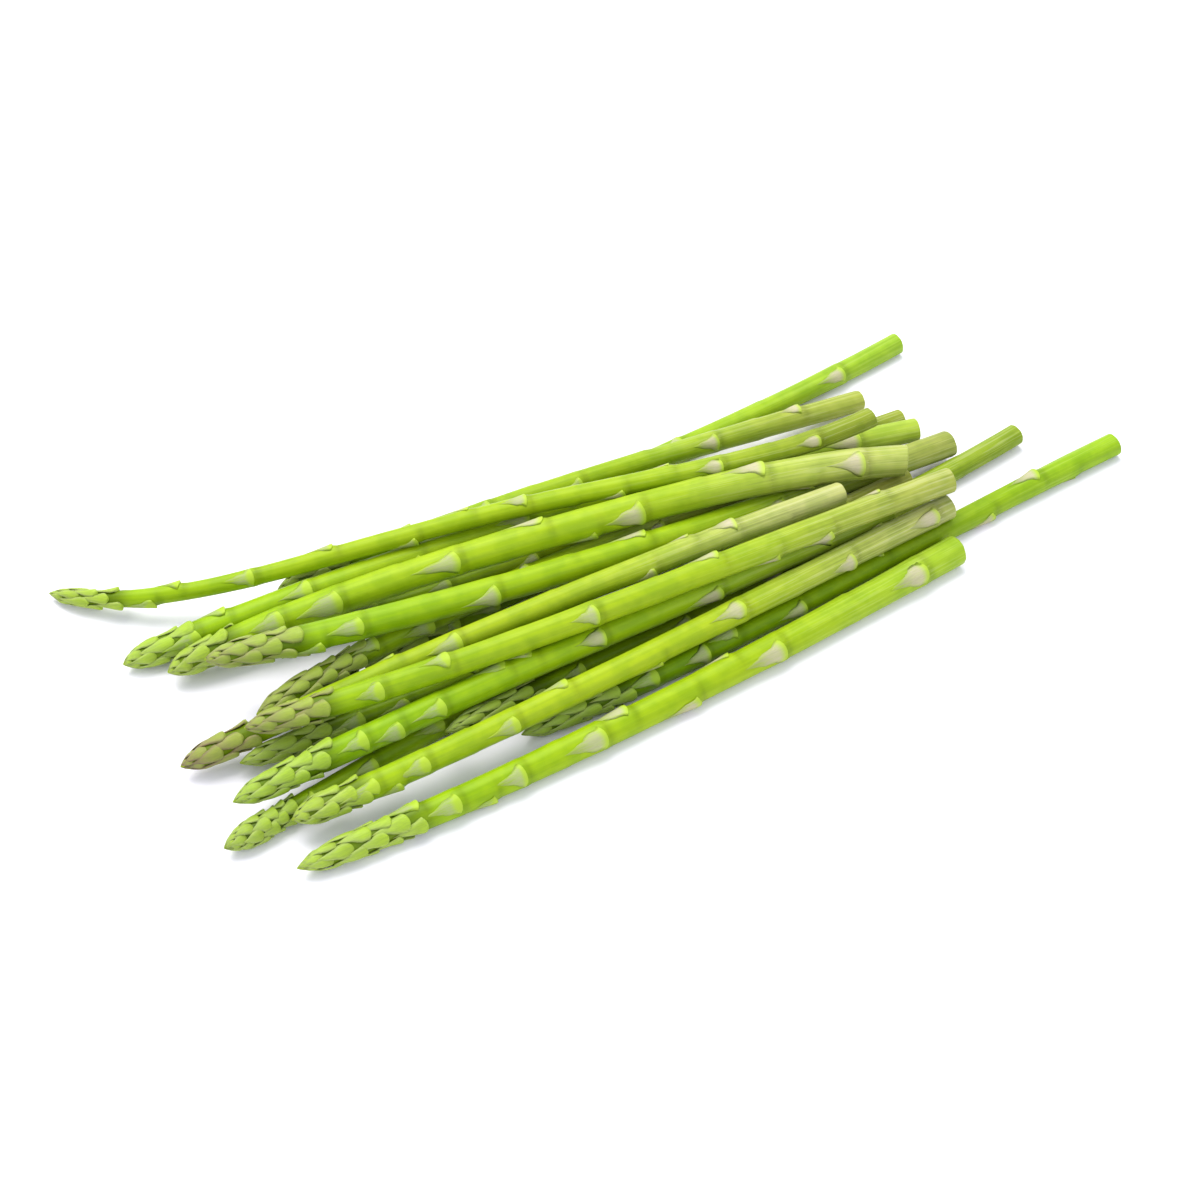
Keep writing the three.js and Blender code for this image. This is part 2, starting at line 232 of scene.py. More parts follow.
axes = []
for row in SPEARS:
    axes.append(lay(row, axes))
print("heights of the tips:", [round(float(a["z"][0]), 1) for a in axes])

# %% [markdown]
# ## Coordinates that follow a spear
# Everything on a spear is easiest to say in its own measures: how far from the tip, how far
# round, and how far out. One function turns those into places in space. The same three
# numbers, without the bend, are kept on the mesh as if the spear were straight, so that
# fibres in the materials run along it without a seam.

# %% From spear measures to space
def tangent_frame(axis, distance):
    """Centre, side and top direction of the axis at each distance. Side is the direction of
    growth crossed with up, top is side crossed with the direction."""
    share = np.interp(distance, axis["distance"], np.linspace(0, 1, STATIONS))
    centre = np.stack([np.interp(share, np.linspace(0, 1, STATIONS), axis[k])
                       for k in "xyz"], axis=-1)
    steps = np.stack([np.gradient(axis[k]) for k in "xyz"], axis=-1)
    steps /= np.linalg.norm(steps, axis=1, keepdims=True)
    along = np.stack([np.interp(distance, axis["distance"], steps[:, i])
                      for i in range(3)], axis=-1)
    side = np.cross(along, (0, 0, 1))
    side /= np.linalg.norm(side, axis=-1, keepdims=True)
    return centre, side, np.cross(side, along)


def place(axis, distance, turn, radius):
    """Points at distance, turn (radians from the top towards -Y) and radius: centre plus
    top times radius times cos(turn) plus side times radius times sin(turn)."""
    distance, turn, radius = np.broadcast_arrays(distance, turn, radius)
    centre, side, top = tangent_frame(axis, distance)
    out = top * np.cos(turn)[..., None] + side * np.sin(turn)[..., None]
    return centre + out * radius[..., None]


def straight(distance, turn, radius):
    """The same point on a spear that is straight and stands along Z."""
    distance, turn, radius = np.broadcast_arrays(distance, turn, radius)
    return np.stack([radius * np.cos(turn), radius * np.sin(turn), distance], axis=-1)


print("first tip:", place(axes[0], 0.0, 0.0, 0.0).round(1))

# %% [markdown]
# ## A patch: one grid of points and what they carry
# Stems, bracts and scales are all grids, closed round one way. A patch keeps the points,
# the faces, the straight coordinates and a few numbers for the materials. Patches of one
# spear are joined into one mesh at the end.

# %% Grids of quads
def tube_faces(rows, columns, shells=1):
    """Quads between neighbouring rows of a grid whose columns close round. Point i of row j
    has the index j times columns plus i; each further shell starts one grid later."""
    j, i = np.meshgrid(np.arange(rows - 1), np.arange(columns), indexing="ij")
    after = (i + 1) % columns
    quad = np.stack([j * columns + i, j * columns + after,
                     (j + 1) * columns + after, (j + 1) * columns + i], axis=-1)
    start = np.arange(shells)[:, None, None, None] * rows * columns
    return (quad[None] + start).reshape(-1, 4)


def patch(points, flat, faces, kind, tone, marks):
    """A dictionary of flat arrays. Faces and kind, the number of the finish, have one entry
    a face. The others have one a point: tone is a linear colour, and marks are the four
    numbers that the materials read back as one, two, three and four."""
    shape = points.shape[:-1]
    spread = [np.broadcast_to(m, shape).reshape(-1) for m in marks]
    return dict(points=points.reshape(-1, 3), flat=flat.reshape(-1, 3), faces=faces,
                kind=np.full(len(faces), kind, dtype=np.int32),
                tone=np.broadcast_to(tone, (*shape, 3)).reshape(-1, 3),
                marks=np.stack(spread, axis=-1))


print("faces of a 3 by 4 tube:", len(tube_faces(3, 4)))

# %% [markdown]
# ## Colours
# The greens were judged on the object. A spear is deepest over and behind its bud,
# where it grows, and paler and more olive near its cut. This slow change is worked out here
# and kept on the points; everything finer than that is left to the materials. A surface in
# the studio comes out brighter and bluer than its own colour, so each kind of colour has a
# share of red, green and blue by which its code is lowered.

# %% Slow change of green along a spear
GREEN_SHARE = np.array([0.77, 0.665, 0.3])
BUTT_SHARE = np.array([0.72, 0.67, 0.5])
DRY_SHARE = 0.76
YOUNG = np.array([0.85, 0.96, 0.5])
YOUNG_FADES = (0.8, 4)
OLD_GROWS = (85, 4)


def linear(code, share=GREEN_SHARE):
    """A colour code as three linear values: each channel, 0 to 1, to the power 2.2, times
    its share."""
    return share * np.array([int(code[i:i + 2], 16) / 255 for i in (0, 2, 4)]) ** 2.2


def skin_tone(spear, distance, length):
    """Mix of three greens: the young one, which fades out between 0.8 and 4 lengths of the
    head, the stem's, and the butt's, which grows in from 85 mm before the end."""
    middle = linear(spear["skin"])
    butt = linear(spear["butt"], BUTT_SHARE)
    head = spear["head"][0]
    old = smoothstep(distance, length - OLD_GROWS[0], length - OLD_GROWS[1])[..., None]
    fresh = 1 - smoothstep(distance, head * YOUNG_FADES[0], head * YOUNG_FADES[1])[..., None]
    tone = middle * (1 - fresh) + middle * YOUNG * fresh
    return tone * (1 - old) + butt * old


print("middle green of the first spear:", linear(SPEARS[0]["skin"]).round(3))

# %% [markdown]
# ## The stem
# A stem is round with faint flutes that show more towards the butt, where the fibres dry.
# Under each bract it is a little swollen. It ends in a knife cut that is slightly out of
# square: a soft rim and a face that sinks a little, because the juicy middle dries faster
# than the skin. A displacement modifier could give the flutes too, but sums of sines are
# known exactly, and the cut and the bracts can follow them. Each use of random numbers has
# a fixed seed, so a spear always looks the same.

# %% Where bracts sit, and the swelling under them
CORE = 0.8
HIDDEN_BRACT_GAP = 26
KNUCKLE = 0.4
KNUCKLE_FADE = 7


def core_radius(spear, distance, length):
    """Skin radius times a share, which leaves room for the scales: CORE over the bud, and
    1 behind the head."""
    share = CORE + (1 - CORE) * smoothstep(distance / spear["head"][0], 0.7, 1)
    return skin_radius(spear, distance, length) * share


def bracts_of(spear, length):
    """The bracts of the row, and one on the far side of each long gap between two."""
    listed = spear["nodes"]
    ends = listed[1:] + [(length - 4, 0)]
    hidden = [((a[0] + b[0]) / 2, a[1] + 180) for a, b in zip(listed, ends)
              if b[0] - a[0] > HIDDEN_BRACT_GAP]
    return np.array(listed + hidden, dtype=float)


def facing(turn, around):
    """1 on the side of a bract and 0 on the far side: the squared cosine of half the turn
    between, where the bract's own turn is in degrees."""
    return np.cos((turn - math.radians(around)) / 2) ** 2


def knuckles(spear, distance, turn, length):
    """Swelling under the bracts, on the side that faces each. It is KNUCKLE high at the
    node, and fades as exp(d / KNUCKLE_FADE) towards the tip and as exp(-d^2) towards the
    butt, with d the distance behind the node."""
    grown = np.zeros(np.broadcast_shapes(distance.shape, turn.shape))
    for node, around in bracts_of(spear, length):
        gone = distance - node
        before = np.exp(np.minimum(gone, 0) / KNUCKLE_FADE)
        fade = np.where(gone < 0, before, np.exp(-gone ** 2))
        grown = grown + KNUCKLE * facing(turn, around) * fade
    return grown


print("bracts on each spear:", [len(bracts_of(r, a["length"])) for r, a in zip(SPEARS, axes)])

# %% Slant of the cut
PHASE = 6.28
CUT_SEED = 1000
CUT_SLOPE = (0.03, 0.14)


def slant(seed, turn, share, radius):
    """How far the knife's cut lies in front of the spear's end: a plane that is a little
    out of square, so the radius times its slope times 1 - share * cos(turn - direction).
    It is 0 at the rim's furthest point and negative elsewhere."""
    rng = np.random.default_rng(CUT_SEED + seed)
    slope, direction = rng.uniform(*CUT_SLOPE), rng.uniform(0, PHASE)
    return -slope * radius * (1 - share * np.cos(turn - direction))


print("first cut, middle in front of the end by:", round(-slant(1, 0.0, 0.0, 4.7), 2), "mm")

# %% Rings of the stem
AROUND = 40
TURNS = (np.arange(AROUND) * 2 * math.pi / AROUND)[None]
STEP = 1.15
FIRST_RING = 0.05
FLUTE = 0.004
OLD_FLUTE = 0.011
UNEVEN = 0.006
RIM = [0.985, 0.93]
CUT_LEANS = 9
UNDER_SCALES_SHADE = 0.45
NODE_SHADE = 0.3


def stem(spear, axis, seed):
    """Rings from the tip to the butt, and their radii. Radius is the core's, times 1 plus a
    small sum of sines of the turn (flutes, stronger near the butt) and of the distance
    (uneven growth), and the last two rings make the rim. Rings near the cut lean with it.
    Painted shade darkens the tone under the scales and in a band 1.2 mm behind each bract."""
    rng = np.random.default_rng(seed)
    length = axis["length"]
    first = FIRST_RING * spear["head"][0]
    rows = int((length - first) / STEP)
    distance = np.concatenate([np.linspace(first, length - 0.5, rows),
                               [length - 0.15, length]])[:, None]
    turn = TURNS
    old = smoothstep(distance, length - 110, length - 10)
    phase = rng.uniform(0, PHASE, 6)
    flutes = (np.sin(5 * turn + phase[0] + distance * 0.012)
              + 0.7 * np.sin(9 * turn + phase[1] - distance * 0.017)
              + 0.5 * np.sin(13 * turn + phase[2]))
    uneven = np.sin(distance * 0.09 + phase[3]) + np.sin(distance * 0.21 + phase[4] + turn)
    radius = core_radius(spear, distance, length)
    radius = radius * (1 + flutes * (FLUTE + OLD_FLUTE * old) + UNEVEN * uneven)
    rim = np.concatenate([np.ones(rows), RIM])[:, None]
    radius = (radius + knuckles(spear, distance, turn, length)) * rim
    near_cut = smoothstep(distance, length - CUT_LEANS, length)
    leaning = distance + near_cut * slant(seed, turn, 1.0, radius[-1:])
    # painted shade: the stem's tone is darkened under the bud's scales and in a band behind each
    # bract's base
    bare = smoothstep(distance / spear["head"][0], 0.9, 1.2)
    shaded = UNDER_SCALES_SHADE + (1 - UNDER_SCALES_SHADE) * bare
    for node, around in bracts_of(spear, length):
        band = np.exp(-((distance - node - 1.2) / 1.3) ** 2)
        shaded = shaded * (1 - NODE_SHADE * facing(turn, around) * band)
    tone = skin_tone(spear, distance, length) * shaded[..., None]
    made = patch(place(axis, leaning, turn, radius), straight(distance, turn, radius),
                 tube_faces(rows + 2, AROUND), 0, tone, (old * spear["dry"], 0.0, 0.0, 0.0))
    return made, radius


sample, sample_radius = stem(SPEARS[0], axes[0], 1)
print("points in the first stem:", len(sample["points"]))

# %% The cut face and the closed tip
CUT_SINKS = 0.35
CUT_RINGS = np.array([1.0, 0.86, 0.62, 0.36, 0.14, 0.0])[:, None]


def caps(spear, axis, radius, seed):
    """Closes the stem: rings that shrink to one point, in front over the tip, and behind in
    the cut, which sinks by CUT_SINKS times 1 minus the squared share of the radius."""
    turn, share = TURNS, CUT_RINGS
    faces = tube_faces(len(share), AROUND)
    sunk = axis["length"] - CUT_SINKS * (1 - share ** 2)
    sunk = sunk + slant(seed, turn, share, radius[-1:])
    edge = radius[-1:] * share
    cut = patch(place(axis, sunk, turn, edge), straight(sunk, turn, edge), faces, 3,
                linear(spear["butt"]), (0.0, share, 0.0, 0.0))
    front = FIRST_RING * spear["head"][0] * share
    nose = radius[:1] * share ** 0.6
    tip = patch(place(axis, front, turn, nose), straight(front, turn, nose),
                faces[:, ::-1], 0, linear(spear["skin"]), (0.0, 0.0, 0.0, 0.0))
    return [cut, tip]


print("points in its ends:",
      [len(end["points"]) for end in caps(SPEARS[0], axes[0], sample_radius, 1)])

# %% [markdown]
# ## Bracts and scales
# Both are the same small leaf. On the stem it is a bract: a triangle with hollow sides that
# is pressed flat, its broad base standing up in a step on the side of the butt. In the bud
# the leaves stay plump and overlap like tiles, each point over the roots of the next ones.
# A leaf is a closed shell, so it has a real thickness where its edge lifts: a grid from its
# base to its point, whose columns run over the outside and back along the inside. One
# modelled leaf could be copied along the stem, but each has to fit the stem that it lies on,
# so all are worked out at once. Two measures belong to a leaf: u runs from -1 to 1 across
# it, and v from 0 at its base to 1 at its point. Where a pair of lists is given below, it is
# a curve: values of v, and what belongs to them.

# %% A leaf that lies on a spear
OUTSIDE = np.linspace(-1, 1, 9)
INSIDE = np.linspace(1, -1, 5)[1:-1]
ACROSS = np.concatenate([OUTSIDE, INSIDE])
IS_OUT = np.concatenate([np.ones(9), np.zeros(3)])


def leaves(spear, axis, kind, root, turn, reach, half_turn, v, wide, outer, inner, tone,
           marks):
    """Shells of shape (leaf, row, column). Distance is root less v times the reach, and less
    a bow that draws the corners of the base forward. Turn is that of the leaf's middle line
    plus u times its half turn times its outline. The radius is the outer one on the outside
    columns and the inner one on the others."""
    distance = root[:, None, None] - reach[:, None, None] * v[None, :, None]
    bow = 0.1 * reach[:, None, None] * ACROSS ** 2 * np.clip(1 - v, 0, 1)[None, :, None]
    distance = np.clip(distance - bow, 0.01, None)
    around = turn[..., None] + ACROSS * half_turn[:, None, None] * wide[..., None]
    radius = np.where(IS_OUT > 0.5, outer, inner)
    points = place(axis, distance, around, radius)
    count = root.shape[0]
    faces = tube_faces(len(v), len(ACROSS), count)
    return patch(points, straight(distance, around, radius), faces, kind, tone, marks)


print("u of a leaf's columns:", ACROSS)

# %% Bracts
BRACT_SEED = 100
BRACT_LENGTH = 12
BRACT_HALF_TURN = math.radians(52)
BRACT_RISE = 0.55
BRACT_V = np.array([-0.012, 0.0, 0.012, 0.05, 0.12, 0.22, 0.34, 0.48, 0.64, 0.82, 0.96, 1])
BRACT_CREST = ([-0.012, 0.0, 0.03], [0.2, 0.85, 1.0])
YOUNG_RISE = 0.3


def bracts(spear, axis, seed):
    """Outline 1 - v to a power between 1.0 and 1.5, with an uneven edge; the middle line
    leans to one side. The outside stands BRACT_RISE and more over the skin at the base,
    most of all near the bud, and comes down to 0.1 mm at the point and along the sides."""
    rng = np.random.default_rng(seed)
    length = axis["length"]
    listed = bracts_of(spear, length)
    count = len(listed)
    root, turn = listed[:, 0], np.radians(listed[:, 1])
    radius = stem_radius(spear, root / length)
    reach = BRACT_LENGTH * np.clip(radius / 4, 0.8, 1.15)
    reach = reach * rng.uniform(0.78, 1.15, count)
    half_turn = BRACT_HALF_TURN * rng.uniform(0.75, 1.05, count)
    v = BRACT_V
    sharp = rng.uniform(1.0, 1.5, count)[:, None]
    uneven = 0.14 * np.sin(v * rng.uniform(7, 15, count)[:, None]
                           + rng.uniform(0, PHASE, count)[:, None])
    wide = np.clip(1 - v, 0, 1) ** sharp * (1 + uneven)
    wide[:, 0] = wide[:, 1] * 0.9
    lean = rng.uniform(-0.16, 0.16, count)[:, None] * np.clip(v, 0, 1) ** 1.5
    turn = turn[:, None] + lean
    distance = root[:, None] - reach[:, None] * v[None]
    skin = skin_radius(spear, distance, length)[..., None]
    swollen = KNUCKLE * np.exp(-reach[:, None] * np.clip(v, 0, 1) / KNUCKLE_FADE)[..., None]
    young = np.exp(-(root - spear["head"][0]) / 30)[:, None]
    rise = (BRACT_RISE + YOUNG_RISE * young) * (1 - np.clip(v, 0, 1)) ** 1.2 + 0.12
    rise = (rise * np.interp(v, *BRACT_CREST))[:, :, None]
    crown = 1 - 0.8 * np.abs(ACROSS) ** 3
    fold = 0.07 * np.sin(ACROSS * 8 + rng.uniform(0, 6, count)[:, None, None])
    outer = skin + swollen + rise * crown + fold * rise - 0.04
    inner = skin - 0.25
    chance = rng.uniform(0, 1, count)[:, None, None]
    marks = (ACROSS, v[None, :, None], chance, (root / length)[:, None, None])
    tone = skin_tone(spear, distance, length)[:, :, None]
    return leaves(spear, axis, 1, root, turn, reach, half_turn, v, wide, outer, inner,
                  tone, marks)


sample = bracts(SPEARS[0], axes[0], BRACT_SEED)
print("points in the bracts of the first spear:", len(sample["points"]))

# %% Scales of the bud
SCALE_V = np.array([-0.03, 0.0, 0.05, 0.14, 0.26, 0.4, 0.55, 0.7, 0.84, 0.95, 1.0])
SCALE_WIDE = np.array([0.85, 0.97, 1.0, 0.98, 0.88, 0.71, 0.52, 0.34, 0.18, 0.07, 0.02])
SCALE_HALF_TURN = math.radians(38)
GOLDEN_TURN = math.radians(137.5)
TIGHT = ([-0.03, 0.0, 0.15, 0.35, 0.55, 0.8, 1.0], [-0.8, -0.5, 0.25, 0.85, 1.08, 1.08, 0.95])
LOOSE = ([-0.03, 0.0, 0.05, 0.26, 0.5, 0.8, 1.0], [0.1, 1.2, 1.35, 1.0, 0.7, 0.45, 0.28])
FLANK = ([0.0, 0.4, 1.0], [0.5, 0.5, 0.3])
THICK = ([0.0, 0.5, 1.0], [1.0, 0.6, 0.18])
PLUMP_FROM = 7
ROOT_SHADE = 0.6
INSIDE_SHADE = 0.5


def scale_count(spear):
    """Scales in a bud: 1.3 heads over the distance from scale to scale, and two more."""
    return int(1.3 * spear["head"][0] / spear["pitch"]) + 2


def scales(spear, axis, seed):
    """Roots follow each other by the golden turn, most closely near the tip of the bud: with
    s from 0 for the first to 1 for the last, a root lies at head * (0.1 + 0.96 * s^1.45).
    Outline: almost a triangle with a round base. In the tight bud the outside climbs out of
    the core at the root and keeps its height to the point, which so lies over the next
    roots; where the bud opens to the stem it stands up in a step at the root and comes down
    to the point. Scales are thinner over the last PLUMP_FROM mm before the tip. Painted shade
    darkens their tone at a root that is sunk and on the inside, in the seams and undersides."""
    rng = np.random.default_rng(seed)
    length = axis["length"]
    head = spear["head"][0]
    count = scale_count(spear)
    order = np.arange(count)
    root = head * (0.1 + 0.96 * (order / (count - 1)) ** 1.45)
    turn = ((seed + order) * GOLDEN_TURN + rng.uniform(-0.12, 0.12, count))[:, None]
    reach = (6.8 * spear["pitch"] + 1.2) * rng.uniform(0.88, 1.12, count)
    reach = np.minimum(reach, root - 0.12)
    half_turn = SCALE_HALF_TURN * rng.uniform(0.88, 1.1, count)
    half_turn = half_turn * (1 + 0.4 * (1 - smoothstep(root / head, 0.1, 0.4)))
    v = SCALE_V
    uneven = 0.07 * np.sin(v * 13 + rng.uniform(0, PHASE, count)[:, None])
    wide = SCALE_WIDE * (1 + uneven)
    turn = turn + rng.uniform(-0.1, 0.1, count)[:, None] * np.clip(v, 0, 1)
    distance = np.clip(root[:, None] - reach[:, None] * v[None], 0.02, None)
    core = core_radius(spear, distance, length)[..., None]
    skin = skin_radius(spear, distance, length)[..., None]
    tight, loose, flank, thick = [np.interp(v, *curve)[None, :, None]
                                  for curve in (TIGHT, LOOSE, FLANK, THICK)]
    opened = smoothstep(root / head, 0.25, 0.7)[:, None, None]
    belly = tight * (1 - opened) + loose * opened
    crown = 1 - np.abs(ACROSS) ** 3 * flank
    plump = smoothstep(distance, 0, PLUMP_FROM)[..., None]
    proud = np.maximum(skin - core, 0.8 * plump) + 0.04 + 0.08 * plump
    outer = core + proud * belly * crown
    inner = np.clip(outer - thick, 0.02, None)
    outer = np.maximum(outer, 0.06)
    marks = (ACROSS, v[None, :, None], 0.0, spear["purple"])
    # painted shade: darker in the seams at sunk roots and on the undersides of the scales
    sunk = (1 - opened) * (1 - smoothstep(v, 0.08, 0.4))[None, :, None]
    tone = skin_tone(spear, distance, length)[:, :, None]
    tone = tone * (1 - ROOT_SHADE * sunk[..., None])
    tone = tone * (INSIDE_SHADE + (1 - INSIDE_SHADE) * IS_OUT)[:, None]
    return leaves(spear, axis, 2, root, turn, reach, half_turn, v, wide, outer, inner,
                  tone, marks)


print("scales in the buds:", [scale_count(row) for row in SPEARS])

# %% [markdown]
# ## Materials
# Four finishes share what all of a spear has in common. The skin is waxy and a little
# translucent, with fine fibres that run lengthwise and soft patches of deeper green. A
# bract is a thin membrane with veins, pale green when young and pinkish when old, and its
# base is bright. A scale is fleshy like the stem, with a pale film, and darkens to purple
# at its point. The cut shows pale flesh, dotted by fibre bundles, in a green ring. The
# fibres are in all four, so they are one node group with its own inputs.

# %% Small helpers for node trees
def add(tree, kind, **values):
    """One node of a tree, with properties or unlinked inputs set by name."""
    made = tree.nodes.new(kind)
    for name, value in values.items():
        if hasattr(made, name):
            setattr(made, name, value)
        else:
            made.inputs[name.replace("_", " ")].default_value = value
    return made


def math_node(tree, what, first, second=None, clamp=False):
    """The result of a Math node; each value is a socket or a number."""
    made = tree.nodes.new("ShaderNodeMath")
    made.operation = what
    made.use_clamp = clamp
    for socket, value in zip(made.inputs, (first, second)):
        if isinstance(value, bpy.types.NodeSocket):
            tree.links.new(value, socket)
        elif value is not None:
            socket.default_value = value
    return made.outputs[0]


def ramp(tree, value, low, high, first=0.0, last=1.0):
    """A smooth Map Range from low..high to first..last."""
    made = tree.nodes.new("ShaderNodeMapRange")
    made.interpolation_type = "SMOOTHSTEP"
    tree.links.new(value, made.inputs["Value"])
    for name, number in zip(("From Min", "From Max", "To Min", "To Max"),
                            (low, high, first, last)):
        made.inputs[name].default_value = number
    return made.outputs["Result"]


def blend(tree, share, first, second, how="MIX"):
    """Two colours mixed by share. Each is a socket or a colour code; a code has its dry
    share in a plain mix, and is taken as it is in the other ways of mixing."""
    made = tree.nodes.new("ShaderNodeMix")
    made.data_type = "RGBA"
    made.blend_type = how
    sockets = (made.inputs[0], made.inputs[6], made.inputs[7])
    for socket, value in zip(sockets, (share, first, second)):
        if isinstance(value, bpy.types.NodeSocket):
            tree.links.new(value, socket)
        elif isinstance(value, str):
            socket.default_value = (*linear(value, DRY_SHARE if how == "MIX" else 1), 1)
        else:
            socket.default_value = value
    return made.outputs[2]


print("a pale film as a colour:", linear("b4c082", DRY_SHARE).round(3))

# %% The fibre group
def fibre_group():
    """Noise on the straight coordinates, which are multiplied by Stretch along the spear:
    long thin streaks. Streaks is a mask from 0 to 1, Height is the noise with a finer grain
    on it, and Patches is a broad soft noise for the mottled greens."""
    tree = bpy.data.node_groups.new("plant fibres", "ShaderNodeTree")
    for name, kind in (("Straight", "NodeSocketVector"), ("Fineness", "NodeSocketFloat"),
                       ("Stretch", "NodeSocketFloat")):
        tree.interface.new_socket(name, in_out="INPUT", socket_type=kind)
    for name in ("Streaks", "Height", "Patches"):
        tree.interface.new_socket(name, in_out="OUTPUT", socket_type="NodeSocketFloat")
    inlet = tree.nodes.new("NodeGroupInput")
    outlet = tree.nodes.new("NodeGroupOutput")
    squeeze = tree.nodes.new("ShaderNodeCombineXYZ")
    squeeze.inputs[0].default_value = 1
    squeeze.inputs[1].default_value = 1
    tree.links.new(inlet.outputs["Stretch"], squeeze.inputs[2])
    scaled = add(tree, "ShaderNodeVectorMath", operation="MULTIPLY")
    tree.links.new(inlet.outputs["Straight"], scaled.inputs[0])
    tree.links.new(squeeze.outputs[0], scaled.inputs[1])
    coarse = add(tree, "ShaderNodeTexNoise", Detail=3.0, Roughness=0.55)
    tree.links.new(scaled.outputs[0], coarse.inputs["Vector"])
    tree.links.new(inlet.outputs["Fineness"], coarse.inputs["Scale"])
    fine = add(tree, "ShaderNodeTexNoise", Detail=2.0, Roughness=0.6)
    tree.links.new(scaled.outputs[0], fine.inputs["Vector"])
    tree.links.new(math_node(tree, "MULTIPLY", inlet.outputs["Fineness"], 3.1),
                   fine.inputs["Scale"])
    broad = add(tree, "ShaderNodeTexNoise", Detail=2.5, Scale=0.16)
    tree.links.new(inlet.outputs["Straight"], broad.inputs["Vector"])
    both = math_node(tree, "ADD", math_node(tree, "MULTIPLY", coarse.outputs[0], 0.65),
                     math_node(tree, "MULTIPLY", fine.outputs[0], 0.35))
    tree.links.new(ramp(tree, coarse.outputs[0], 0.36, 0.64), outlet.inputs["Streaks"])
    tree.links.new(both, outlet.inputs["Height"])
    tree.links.new(ramp(tree, broad.outputs[0], 0.35, 0.68), outlet.inputs["Patches"])
    return tree


fibres = fibre_group()
print("group:", fibres.name, "with", len(fibres.nodes), "nodes")

# %% What the points carry, read back in a material
CARRIED = ("straight", "tone", "marks", "extra")


def start_material(name, fineness, stretch):
    """A material with its shader, the fibre group and the points' marks, as a dictionary."""
    made = bpy.data.materials.new(name)
    made.use_nodes = True
    tree = made.node_tree
    shader = tree.nodes["Principled BSDF"]
    flat, tone, marks, extra = [add(tree, "ShaderNodeAttribute", attribute_name=what)
                                for what in CARRIED]
    split = tree.nodes.new("ShaderNodeSeparateXYZ")
    tree.links.new(marks.outputs["Vector"], split.inputs[0])
    group = add(tree, "ShaderNodeGroup", node_tree=fibres)
    group.inputs["Fineness"].default_value = fineness
    group.inputs["Stretch"].default_value = stretch
    tree.links.new(flat.outputs["Vector"], group.inputs["Straight"])
    return dict(material=made, tree=tree, shader=shader, tone=tone.outputs["Color"],
                one=split.outputs[0], two=split.outputs[1], three=split.outputs[2],
                four=extra.outputs["Fac"], streaks=group.outputs["Streaks"],
                height=group.outputs["Height"], patches=group.outputs["Patches"])


def finish_material(m, colour, roughness, depth, waxy, glow=0.12):
    """Links colour and roughness, and the fibres as a bump of the given depth in
    millimetres. Waxy is the share of light that the wax reflects, and glow the share that
    comes through the flesh."""
    tree, shader = m["tree"], m["shader"]
    tree.links.new(colour, shader.inputs["Base Color"])
    tree.links.new(roughness, shader.inputs["Roughness"])
    bump = add(tree, "ShaderNodeBump", Distance=depth * MM, Strength=1.0)
    tree.links.new(m["height"], bump.inputs["Height"])
    tree.links.new(bump.outputs[0], shader.inputs["Normal"])
    shader.inputs["Specular IOR Level"].default_value = waxy
    shader.inputs["Subsurface Weight"].default_value = glow
    shader.inputs["Subsurface Radius"].default_value = (1.0, 1.0, 0.3)
    shader.inputs["Subsurface Scale"].default_value = 1.2 * MM
    return m["material"]


print("a point carries:", CARRIED)

# %% Finish of the skin
def skin_material():
    """The slow green, made lighter and yellower by streaks and deeper by patches. Where the
    stem is dry some streaks turn pale and others brown. one is how dry it is, 0 to 1."""
    m = start_material("asparagus skin", 1.1, 0.024)
    tree = m["tree"]
    lighter = blend(tree, 1.0, m["tone"], "e6e680", "SOFT_LIGHT")
    colour = blend(tree, math_node(tree, "MULTIPLY", m["streaks"], 0.3), m["tone"], lighter)
    deeper = blend(tree, 1.0, colour, "b4d080", "MULTIPLY")
    colour = blend(tree, math_node(tree, "MULTIPLY", m["patches"], 0.32), colour, deeper)
    dry = math_node(tree, "MULTIPLY", ramp(tree, m["height"], 0.5, 0.6), m["one"])
    colour = blend(tree, math_node(tree, "MULTIPLY", dry, 0.4), colour, "dcdab4")
    brown = math_node(tree, "MULTIPLY", ramp(tree, m["height"], 0.47, 0.38), m["one"])
    colour = blend(tree, math_node(tree, "MULTIPLY", brown, 0.42), colour, "74763c")
    roughness = math_node(tree, "ADD", 0.4, math_node(tree, "MULTIPLY", m["one"], 0.16))
    return finish_material(m, colour, roughness, 0.06, 0.14)


FINISHES = [skin_material()]
print("finish:", FINISHES[0].name)

